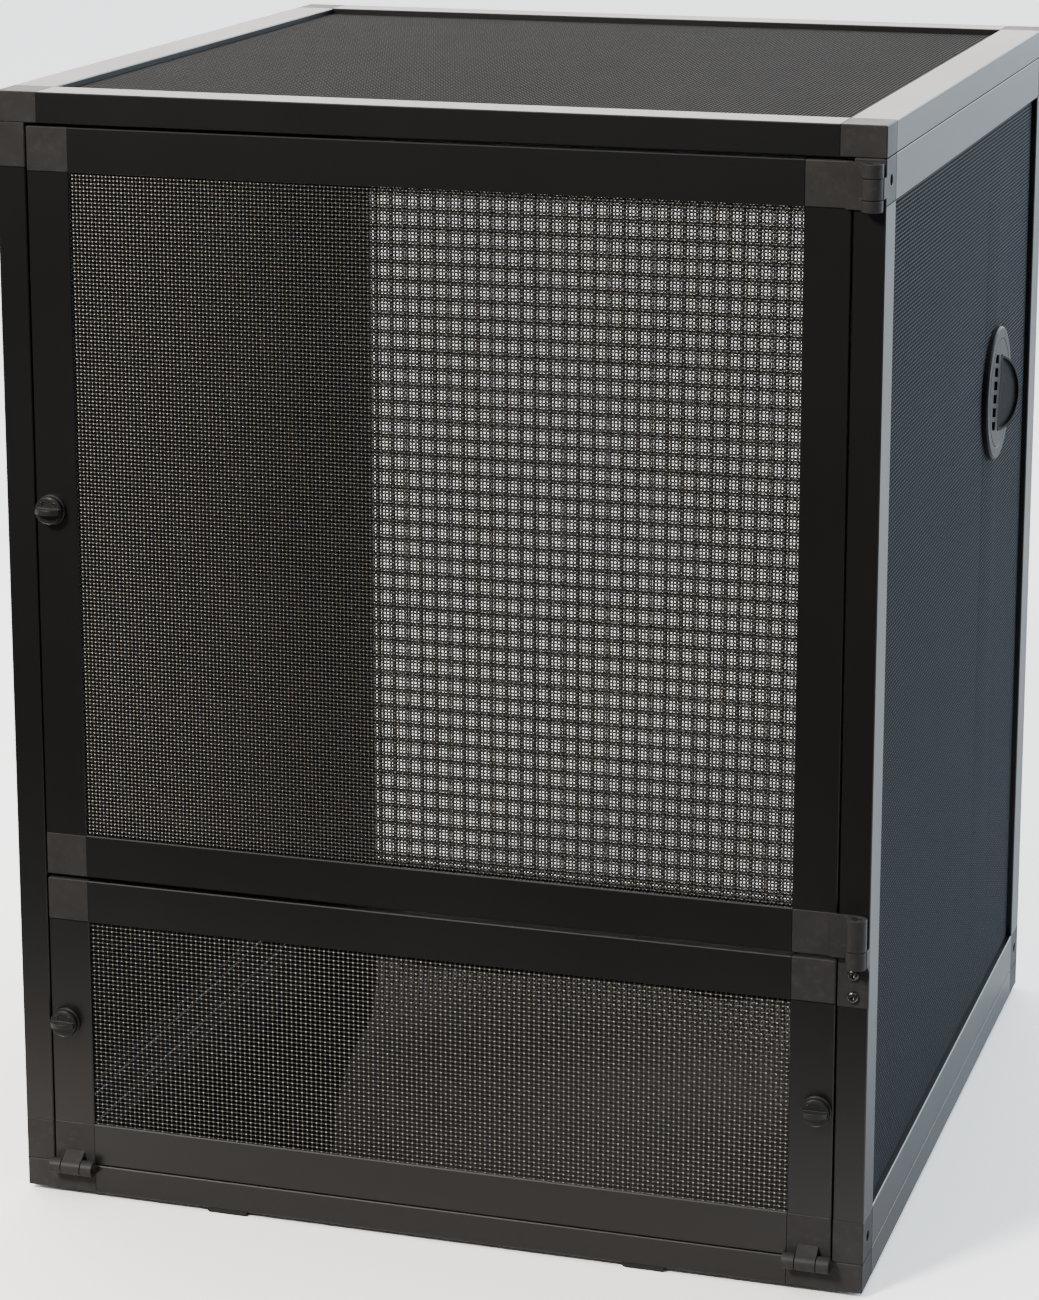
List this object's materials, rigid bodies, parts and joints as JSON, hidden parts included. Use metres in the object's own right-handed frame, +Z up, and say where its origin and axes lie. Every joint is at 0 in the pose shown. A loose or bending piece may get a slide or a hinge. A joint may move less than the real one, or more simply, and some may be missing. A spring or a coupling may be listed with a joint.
{
  "type": "reptile terrarium",
  "caption": "Front-opening mesh reptile cage of black tube frames, with an upper side-hinged door, a lower drop-down door, turn latches and a round cable port.",
  "frame": {"origin": "on the plane that the feet stand on, at the middle of the width and of the depth from the front of the hinges to the rear face", "axes": "+Z up, -Y towards the doors, +X towards the side with the cable port"},
  "size_m": [0.4584, 0.4606, 0.5841],
  "materials": {
    "frame_paint": "satin",
    "corner_plastic": "fine grain",
    "mesh": "satin",
    "spline": "matte",
    "floor_sheet": "gloss",
    "foot_rubber": "matte",
    "latch_plastic": "satin",
    "port_plastic": "satin",
    "screw_steel": "blackened"
  },
  "bodies": {
    "cage": {"base_front_rail": "frame_paint", "base_rear_rail": "frame_paint", "base_side_rails": "frame_paint", "base_left_hinge_corner": "corner_plastic", "base_right_hinge_corner": "corner_plastic", "base_rear_corners": "corner_plastic", "floor_sheet": "floor_sheet", "feet": "foot_rubber", "left_front_post": "frame_paint", "left_rear_post": "frame_paint", "left_panel_rails": "frame_paint", "left_panel_corners": "corner_plastic", "left_mesh": "mesh", "left_spline": "spline", "right_front_post": "frame_paint", "right_rear_post": "frame_paint", "right_panel_rails": "frame_paint", "right_panel_corners": "corner_plastic", "right_hinge_corner": "corner_plastic", "right_mesh": "mesh", "right_spline": "spline", "back_stiles": "frame_paint", "back_rails": "frame_paint", "back_corners": "corner_plastic", "back_mesh": "mesh", "back_spline": "spline", "lid_front_rear_rails": "frame_paint", "lid_side_rails": "frame_paint", "lid_corners": "corner_plastic", "lid_mesh": "mesh", "lid_spline": "spline", "hinge_bracket": "corner_plastic", "bracket_screws": "screw_steel", "upper_hinge_pins": "screw_steel", "lower_hinge_pins": "screw_steel", "corner_screws": "screw_steel", "port_ring": "port_plastic", "port_nut": "port_plastic"},
    "upper_door": {"upper_door_left_stile": "frame_paint", "upper_door_right_stile": "frame_paint", "upper_door_rails": "frame_paint", "upper_door_corners": "corner_plastic", "upper_door_top_hinge_corner": "corner_plastic", "upper_door_bottom_hinge_corner": "corner_plastic", "upper_door_mesh": "mesh", "upper_door_spline": "spline"},
    "lower_door": {"lower_door_stiles": "frame_paint", "lower_door_rails": "frame_paint", "lower_door_corners": "corner_plastic", "lower_door_hinge_corners": "corner_plastic", "lower_door_mesh": "mesh", "lower_door_spline": "spline"},
    "upper_latch": {"upper_latch_knob": "latch_plastic", "upper_latch_cam": "latch_plastic"},
    "lower_left_latch": {"lower_left_latch_knob": "latch_plastic", "lower_left_latch_cam": "latch_plastic"},
    "lower_right_latch": {"lower_right_latch_knob": "latch_plastic", "lower_right_latch_cam": "latch_plastic"},
    "port_cap": {"port_cap": "port_plastic"},
    "port_flap": {"port_flap": "port_plastic"}
  },
  "joints": [
    {"name": "upper_door_hinge", "type": "hinge", "parent": "cage", "child": "upper_door", "pos_m": [0.2195, -0.2252, 0.37], "axis": [0, 0, 1], "range_deg": [0, 180]},
    {"name": "lower_door_hinge", "type": "hinge", "parent": "cage", "child": "lower_door", "pos_m": [0, -0.2242, 0.0176], "axis": [1, 0, 0], "range_deg": [0, 97]},
    {"name": "upper_latch_turn", "type": "hinge", "parent": "upper_door", "child": "upper_latch", "pos_m": [-0.2004, -0.2197, 0.37235], "axis": [0, -1, 0], "range_deg": [0, 90]},
    {"name": "lower_left_latch_turn", "type": "hinge", "parent": "lower_door", "child": "lower_left_latch", "pos_m": [-0.2004, -0.2197, 0.097], "axis": [0, -1, 0], "range_deg": [0, 90]},
    {"name": "lower_right_latch_turn", "type": "hinge", "parent": "lower_door", "child": "lower_right_latch", "pos_m": [0.2004, -0.2197, 0.097], "axis": [0, 1, 0], "range_deg": [0, 90]},
    {"name": "port_cap_turn", "type": "hinge", "parent": "cage", "child": "port_cap", "pos_m": [0.2253, 0.1063, 0.3941], "axis": [1, 0, 0], "continuous": true},
    {"name": "port_flap_hinge", "type": "hinge", "parent": "port_cap", "child": "port_flap", "pos_m": [0.224, 0.1063, 0.3941], "axis": [0, -0.1908, -0.9816], "range_deg": [-23, 67]}
  ]
}
